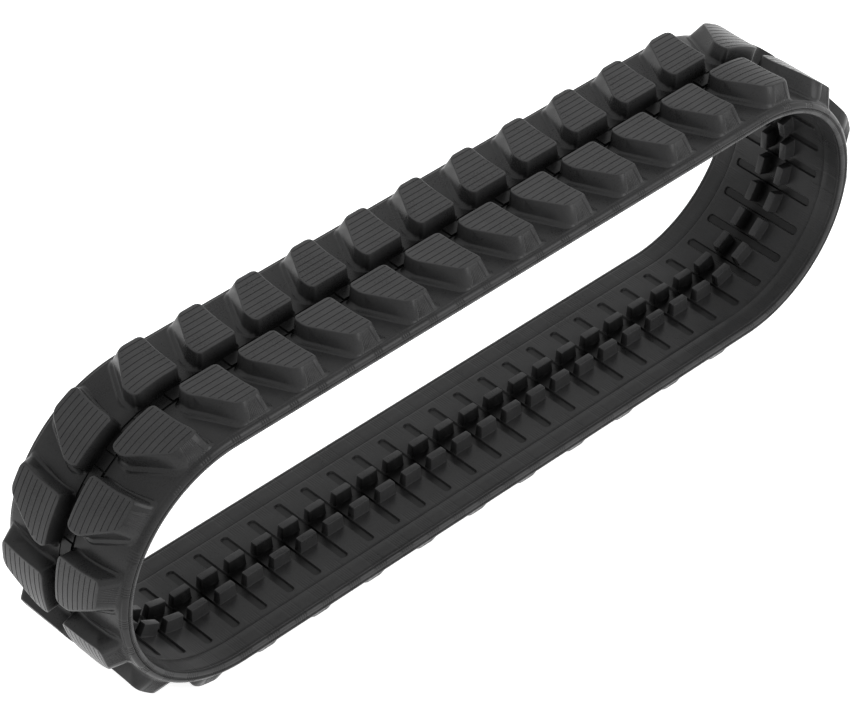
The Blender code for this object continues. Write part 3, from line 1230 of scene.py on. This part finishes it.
@dataclass
class Lug:
    """Tread lug: a slanted block with a skirt, grooved on top and fluted at its end.

    Each step of the skirt is a share of the way from the base to the wall's foot, the
    height there where the skirt has its crest, and the height at the outer end.  The
    grooves run along the band.  A slice is the length of lug between two cuts, over
    which it stays straight when the band bends.
    """

    surface: float = 0.018
    height: float = 0.026
    shoulder: float = 0.0055
    root: float = 0.0034
    rounding: float = 0.0011
    reach: float = 0.9
    groove_first: float = 0.0188
    groove_step: float = 0.0096
    groove_count: int = 8
    groove_width: float = 0.0015
    groove_depth: float = 0.00055
    groove_margin: float = 0.0016
    slice_length: float = 0.006
    flutes: int = 9
    flute_depth: float = 0.0007
    flute_wave: tuple[float, ...] = (0.0, -0.5, -1.0, -0.5)
    fluted_corner: int = 4
    end_fade: tuple[float, float] = (0.095, 0.102)
    channel_fade: tuple[float, float] = (0.024, 0.038)
    # Painted light on the lug's top.
    top_light: float = 1.7
    wall_tone: float = 1.1
    # Painted shade low down on the side by the channel.
    channel_shade: float = 0.3
    shaded_across: tuple[float, float] = (0.016, 0.026)
    shaded_depth: tuple[float, float] = (0.004, 0.020)
    top: tuple[FlatPoint, ...] = (
        (-0.031, 0.013), (0.029, 0.013), (0.033, 0.020), (0.033, 0.036),
        (0.0, 0.0935), (-0.0365, 0.0935), (-0.0315, 0.058),
    )
    wall_foot: tuple[FlatPoint, ...] = (
        (-0.033, 0.012), (0.0305, 0.012), (0.035, 0.019), (0.035, 0.037),
        (0.003, 0.104), (-0.0415, 0.104), (-0.034, 0.058),
    )
    base: tuple[FlatPoint, ...] = (
        (-0.0355, 0.0115), (0.033, 0.0115), (0.041, 0.0185), (0.043, 0.038),
        (0.009, 0.106), (-0.0475, 0.106), (-0.037, 0.058),
    )
    skirt: tuple[Point, ...] = (
        (0.0, 0.0014, 0.0002), (0.08, 0.0023, 0.0005), (0.24, 0.0025, 0.0009),
        (0.45, 0.0026, 0.0016), (0.70, 0.0032, 0.0028), (0.88, 0.0042, 0.0042),
    )
    corners: tuple[float, ...] = (0.008, 0.006, 0.006, 0.009, 0.010, 0.011, 0.02)
    corner_points: int = 5

    def outline(self, shape: Sequence[FlatPoint],
                flute: float = 0.0) -> list[FlatPoint]:
        """Round an outline's corners and flute its outer end.

        Args:
            shape: The outline's corners.
            flute: Depth of the flutes.

        Returns:
            The rounded outline, with the same number of points for every outline.
        """
        count = len(shape)
        found: list[FlatPoint] = []
        for index, corner in enumerate(shape):
            here = Vector(corner)
            before = Vector(shape[index - 1]) - here
            after = Vector(shape[(index + 1) % count]) - here
            cut = min(self.corners[index], before.length * 0.45, after.length * 0.45)
            start = here + before.normalized() * cut
            end = here + after.normalized() * cut
            for step in range(self.corner_points):
                share = step / (self.corner_points - 1)
                point = (start * (1 - share) ** 2 + here * 2 * share * (1 - share)
                         + end * share ** 2)
                found.append(tuple(point))
            if index == self.fluted_corner:
                found += self.fluted(found[-1], shape[index + 1], cut, flute)
        return found

    def fluted(self, start: FlatPoint, corner: FlatPoint, cut: float,
               depth: float) -> list[FlatPoint]:
        """Points of the fluted outer end.

        Args:
            start: Where the end's straight part starts.
            corner: The corner that it runs to.
            cut: How much of it the corner's rounding takes.
            depth: Depth of the flutes.

        Returns:
            The points between the two.
        """
        first = Vector(start)
        line = Vector(corner) - first
        line *= 1 - cut / line.length
        found = []
        steps = self.flutes * len(self.flute_wave)
        for step in range(1, steps):
            point = first + line * step / steps
            wave = self.flute_wave[step % len(self.flute_wave)]
            found.append((point.x, point.y + wave * depth))
        return found

    def inset(self, ring: Sequence[FlatPoint], distance: float) -> list[FlatPoint]:
        """Move a ring's points inwards.

        Args:
            ring: The ring.
            distance: How far.

        Returns:
            The moved ring.
        """
        count = len(ring)
        middle = sum((Vector(point) for point in ring), Vector((0.0, 0.0))) / count
        found = []
        for index, point in enumerate(ring):
            line = Vector(ring[(index + 2) % count]) - Vector(ring[index - 2])
            inward = Vector((-line.y, line.x)).normalized()
            if inward.dot(middle - Vector(point)) < 0:
                inward.negate()
            found.append(tuple(Vector(point) + inward * distance))
        return found

    def rings(self) -> list[list[Point]]:
        """Rings of the lug from its root to its top.

        Returns:
            The rings in the flat layout, each on the positive side of the centre.
        """
        base = self.outline(self.base, self.flute_depth * 0.3)
        foot = self.outline(self.wall_foot, self.flute_depth)
        top = self.outline(self.top, self.flute_depth * 0.6)
        outside = blend_rings(base, foot, -0.3)
        found = [self.level(outside, -self.root, -self.root),
                 self.level(outside, 0.0, 0.0)]
        for share, crest, plain in self.skirt:
            found.append(self.level(blend_rings(base, foot, share), crest, plain))
        edge = self.rounding
        wall = (self.height - edge - self.shoulder) / (self.height - self.shoulder)
        for ring, rise in ((foot, self.shoulder),
                           (blend_rings(foot, top, wall), self.height - edge),
                           (self.inset(top, edge * 0.3), self.height - edge * 0.3),
                           (self.inset(top, edge), self.height)):
            found.append(self.level(ring, rise, rise))
        return found

    def level(self, ring: Sequence[FlatPoint], crest: float,
              plain: float) -> list[Point]:
        """Lift a ring, by one height along the skirt and by another at the outer end.

        Args:
            ring: The ring.
            crest: Height over the belt where the skirt has its crest.
            plain: Height at the outer end, which has no crest.

        Returns:
            The ring's points in the flat layout.
        """
        found = []
        for station, across in ring:
            share = max(held_share(across, *self.end_fade),
                        1 - held_share(across, *self.channel_fade))
            rise = crest * (1 - share) + plain * share
            found.append((station, across, -self.surface - rise))
        return found

    def pattern(self, name: str, side: Side) -> bpy.types.Object:
        """Build one lug.

        Args:
            name: The pattern's name.
            side: The side of the centre line.

        Returns:
            A helper object.
        """
        made = tube_from_rings(
            [[(s, side.value * y, h) for s, y, h in ring] for ring in self.rings()],
            lambda point: self.wall_tone)
        close_and_face_out(made)
        block = mesh_object(name + "_block", made)
        cutter = mesh_object(name + "_slots", self.slots(side))
        step = block.modifiers.new("slots", "BOOLEAN")
        step.operation = "DIFFERENCE"
        step.solver = "EXACT"
        step.object = cutter
        mesh = evaluated_mesh(block)
        cut = bmesh.new()
        cut.from_mesh(mesh)
        bpy.data.meshes.remove(mesh)
        remove_object(block)
        remove_object(cutter)
        self.slice(cut)
        shade = cut.verts.layers.float[TONE]
        for vert in cut.verts:
            vert[shade] = self.tone(vert.co)
        return mesh_object(name, cut)

    def slots(self, side: Side) -> bmesh.types.BMesh:
        """Build the boxes that cut the grooves into the lug's top.

        Args:
            side: The side of the centre line.

        Returns:
            The boxes in one mesh.
        """
        made = bmesh.new()
        for index in range(self.groove_count):
            across = self.groove_first + index * self.groove_step
            low, high = self.top_span(across)
            grown = bmesh.ops.create_cube(made, size=1.0)["verts"]
            bmesh.ops.scale(made, verts=grown, vec=(
                high - low, self.groove_width, self.groove_depth * 2))
            bmesh.ops.translate(made, verts=grown, vec=(
                (low + high) / 2, side.value * across, -self.surface - self.height))
        return made

    def tone(self, point: Vector) -> float:
        """How light the lug is painted: painted light on its top, painted shade low down by the channel.

        Args:
            point: A point of the lug.

        Returns:
            The tone, where 1 is the plain rubber.
        """
        under = self.surface + self.height + point.z
        # Painted light on the top.
        if under < self.groove_depth * 0.5:
            return self.top_light
        if under < self.groove_depth * 1.5:
            return self.wall_tone
        # Painted shade low down by the channel.
        near_channel = 1 - held_share(abs(point.y), *self.shaded_across)
        low = held_share(under, *self.shaded_depth)
        return self.wall_tone + (self.channel_shade - self.wall_tone) * near_channel * low

    def top_span(self, across: float) -> FlatPoint:
        """Stations between which a groove crosses the lug's top.

        Args:
            across: The groove's distance from the centre line.

        Returns:
            Its two ends.
        """
        ring = self.outline(self.top)
        found = []
        for near, far in zip(ring, ring[1:] + ring[:1]):
            if (near[1] - across) * (far[1] - across) < 0:
                share = (across - near[1]) / (far[1] - near[1])
                found.append(near[0] + share * (far[0] - near[0]))
        margin = self.rounding + self.groove_margin
        return min(found) + margin, max(found) - margin

    def slice(self, made: bmesh.types.BMesh) -> None:
        """Cut a lug's long faces, so that they can bend with the band.

        Args:
            made: The lug's mesh, which is changed.
        """
        length = max(abs(vert.co.x) for vert in made.verts)
        steps = math.ceil(length / self.slice_length)
        for index in range(-steps, steps + 1):
            bmesh.ops.bisect_plane(
                made, geom=made.verts[:] + made.edges[:] + made.faces[:], dist=1e-6,
                plane_co=(index * self.slice_length, 0.0, 0.0),
                plane_no=(1.0, 0.0, 0.0))


def blend_rings(low: Sequence[FlatPoint], high: Sequence[FlatPoint],
                share: float) -> list[FlatPoint]:
    """Ring between two others.

    Args:
        low: The ring at share 0.
        high: The ring at share 1.
        share: Where between them.

    Returns:
        The ring.
    """
    return [(a[0] * (1 - share) + b[0] * share, a[1] * (1 - share) + b[1] * share)
            for a, b in zip(low, high)]


# ---------------------------------------------------------------- the band


@dataclass
class BandBuilder:
    """Builds the visible pieces of every stretch of the band."""

    finishes: Finishes
    cover: InnerCover = field(default_factory=InnerCover)
    horn: Horn = field(default_factory=Horn)
    tread: Tread = field(default_factory=Tread)
    lug: Lug = field(default_factory=Lug)
    phases: dict[Side, float] = field(
        default_factory=lambda: {Side.RIGHT: 1.5, Side.LEFT: 0.3})
    lug_spacing: float = 2.0

    def __post_init__(self) -> None:
        """Build the node trees and the patterns that they repeat."""
        self.bending = bending_row_tree(LOOP)
        self.stiff = stiff_row_tree(LOOP)
        self.tiles = {}
        for layer, face in ((Layer.COVER, self.cover), (Layer.TREAD, self.tread)):
            rings = [face.ring(lane) for lane in face.lanes()]
            self.tiles[layer] = [part.pattern(layer.name, rings, face.tone)
                                 for part in TilePart]
        self.horns = {side: self.horn.pattern(f"horn_{side.name}", side)
                      for side in Side}
        self.lugs = {side: self.lug.pattern(f"lug_{side.name}", side)
                     for side in Side}

    def tile_rows(self, layer: Layer, stretch: Stretch) -> list[Row]:
        """Rows of tiles that make one stretch, with a half tile at a half station.

        Args:
            layer: Which layer's tile.
            stretch: The stretch.

        Returns:
            The rows.
        """
        whole, rear_half, front_half = self.tiles[layer]
        first, last = math.ceil(stretch.first), math.floor(stretch.last)
        rows = [Row(self.bending, whole, first, 1.0, last - first)]
        if first > stretch.first:
            rows.append(Row(self.bending, front_half, first - 1, 1.0, 1))
        if last < stretch.last:
            rows.append(Row(self.bending, rear_half, last, 1.0, 1))
        return rows

    def horn_rows(self, stretch: Stretch) -> list[Row]:
        """Rows of guide horns on one stretch, the horns at its first station left out.

        Args:
            stretch: The stretch.

        Returns:
            One row for each side.
        """
        first, count = stations_within(stretch.first + STATION_SLACK,
                                       stretch.last + STATION_SLACK, 0.0, 1.0)
        return [Row(self.stiff, self.horns[side], first, 1.0, count) for side in Side]

    def lug_rows(self, stretch: Stretch) -> list[Row]:
        """Rows of lugs on one stretch, each lug whole.

        Args:
            stretch: The stretch.

        Returns:
            The rows that hold a lug.
        """
        rows = []
        reach = self.lug.reach if stretch.turn else -self.lug.reach
        low, high = stretch.first - reach, stretch.last + reach
        if stretch.last == OPEN_SEAM:
            high = OPEN_SEAM + STATION_SLACK
        if stretch.first == OPEN_SEAM:
            low = OPEN_SEAM + STATION_SLACK
        for side, phase in self.phases.items():
            first, count = stations_within(low, high, phase, self.lug_spacing)
            if count > 0:
                rows.append(Row(self.bending, self.lugs[side], first,
                                self.lug_spacing, count))
        return rows

    def piece(self, label: str, stretch: Stretch, layer: Layer,
              rows: Sequence[Row]) -> bpy.types.Object:
        """Build a piece from rows, and join it to the bodies of its stretch.

        Args:
            label: What the piece is.
            stretch: Its stretch.
            layer: The layer whose rubber it is made of.
            rows: Its rows.

        Returns:
            The piece.
        """
        made = join_rows(f"{label}_{stretch.name}", rows, self.finishes.rubber[layer])
        if stretch.turn:
            start, end = ((x, 0.0, stretch.cord_height) for x in stretch.turn)
            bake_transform(made, *stretch.bodies, start=start, end=end)
        else:
            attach(made, stretch.bodies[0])
        layer.slot
        LOG.info("%s: %d faces on %s", made.name, len(made.data.polygons),
                 ", ".join(stretch.bodies))
        return made

    def build(self, stretch: Stretch) -> None:
        """Args:
            stretch: The stretch.
        """
        cover = self.piece("cover", stretch, Layer.COVER,
                           self.tile_rows(Layer.COVER, stretch))
        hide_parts(*stretch.cad_nodes(Layer.COVER))
        self.piece("horns", stretch, Layer.COVER, self.horn_rows(stretch))
        tread = self.piece("tread", stretch, Layer.TREAD,
                           self.tile_rows(Layer.TREAD, stretch))
        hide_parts(*stretch.cad_nodes(Layer.TREAD))
        self.piece("lugs", stretch, Layer.TREAD, self.lug_rows(stretch))

    def clear_patterns(self) -> None:
        """Remove the patterns, which aren't pieces themselves."""
        for group in (*self.tiles.values(), self.horns.values(), self.lugs.values()):
            for found in group:
                remove_object(found)


def dress_steel(finishes: Finishes) -> None:
    """Give the cores and the cord belts inside the rubber their steel.

    Args:
        finishes: The finishes.
    """
    for name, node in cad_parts.items():
        if "_cores_" in name or "_cord_belt_" in name:
            node.data.materials.clear()
            steel = finishes.core if "_cores_" in name else finishes.cord
            node.data.materials.append(steel)


# ---------------------------------------------------------------- the studio


@dataclass(frozen=True)
class Studio:
    """Pale floor, soft light and the camera."""

    target: Point = (0.0980, 0.1572, 0.0440)
    azimuth: float = -133.44
    elevation: float = 40.36
    distance: float = 5.3257
    lens: float = 158.6
    sensor_width: float = 36.0
    floor_half: float = 12.0
    floor_gap: float = 0.0004
    floor_grey: float = 0.85
    floor_glow: float = 0.75
    sky_strength: float = 1.12
    lamp_place: Point = (1.4, -2.6, 2.6)
    lamp_target: Point = (0.0, 0.0, 0.2)
    lamp_size: float = 2.4
    lamp_power: float = 80.0

    def direction(self) -> Vector:
        """Direction from the target to the camera.

        Returns:
            A vector of length 1.
        """
        turn, lift = math.radians(self.azimuth), math.radians(self.elevation)
        return Vector((math.cos(lift) * math.cos(turn),
                       math.cos(lift) * math.sin(turn), math.sin(lift)))

    def camera(self) -> None:
        """Make the camera."""
        data = bpy.data.cameras.new("studio_camera")
        data.lens = self.lens
        data.sensor_width = self.sensor_width
        data.clip_end = 60.0
        found = bpy.data.objects.new("studio_camera", data)
        found.location = Vector(self.target) + self.direction() * self.distance
        found.rotation_euler = (-self.direction()).to_track_quat("-Z", "Y").to_euler()
        bpy.context.scene.collection.objects.link(found)
        bpy.context.scene.camera = found

    def floor(self) -> None:
        """Make the floor."""
        made = bmesh.new()
        bmesh.ops.create_grid(made, x_segments=1, y_segments=1, size=self.floor_half)
        found = mesh_object("studio_floor", made)
        paint = bpy.data.materials.new("floor_paint")
        paint.use_nodes = True
        shader = paint.node_tree.nodes["Principled BSDF"]
        shader.inputs["Base Color"].default_value = (*[self.floor_grey] * 3, 1.0)
        shader.inputs["Roughness"].default_value = 0.9
        shader.inputs["Emission Color"].default_value = (1.0, 1.0, 1.0, 1.0)
        shader.inputs["Emission Strength"].default_value = self.floor_glow
        found.data.materials.append(paint)
        found.location.z = CAD_BOX[0].z - self.floor_gap

    def sky(self) -> None:
        """Make the even sky, and show its white as white."""
        world = bpy.data.worlds.new("studio_sky")
        world.use_nodes = True
        sky = world.node_tree.nodes["Background"]
        sky.inputs["Color"].default_value = (1.0, 1.0, 1.0, 1.0)
        sky.inputs["Strength"].default_value = self.sky_strength
        bpy.context.scene.world = world
        bpy.context.scene.view_settings.view_transform = "Standard"

    def lamp(self) -> None:
        """Make the soft lamp."""
        data = bpy.data.lights.new("key", "AREA")
        data.size = self.lamp_size
        data.energy = self.lamp_power
        found = bpy.data.objects.new("key", data)
        found.location = self.lamp_place
        aim = Vector(self.lamp_target) - Vector(self.lamp_place)
        found.rotation_euler = aim.to_track_quat("-Z", "Y").to_euler()
        bpy.context.scene.collection.objects.link(found)

    def build(self) -> None:
        """Make the whole studio."""
        self.camera()
        self.floor()
        self.sky()
        self.lamp()


def main() -> None:
    """Build the track's surface, its finishes and the studio."""
    logging.basicConfig(level=logging.INFO, format="%(name)s %(message)s")
    Studio().build()
    finishes = Finishes()
    band = BandBuilder(finishes)
    for stretch in STRETCHES:
        band.build(stretch)
    band.clear_patterns()
    dress_steel(finishes)


if __name__ == "__main__":
    main()
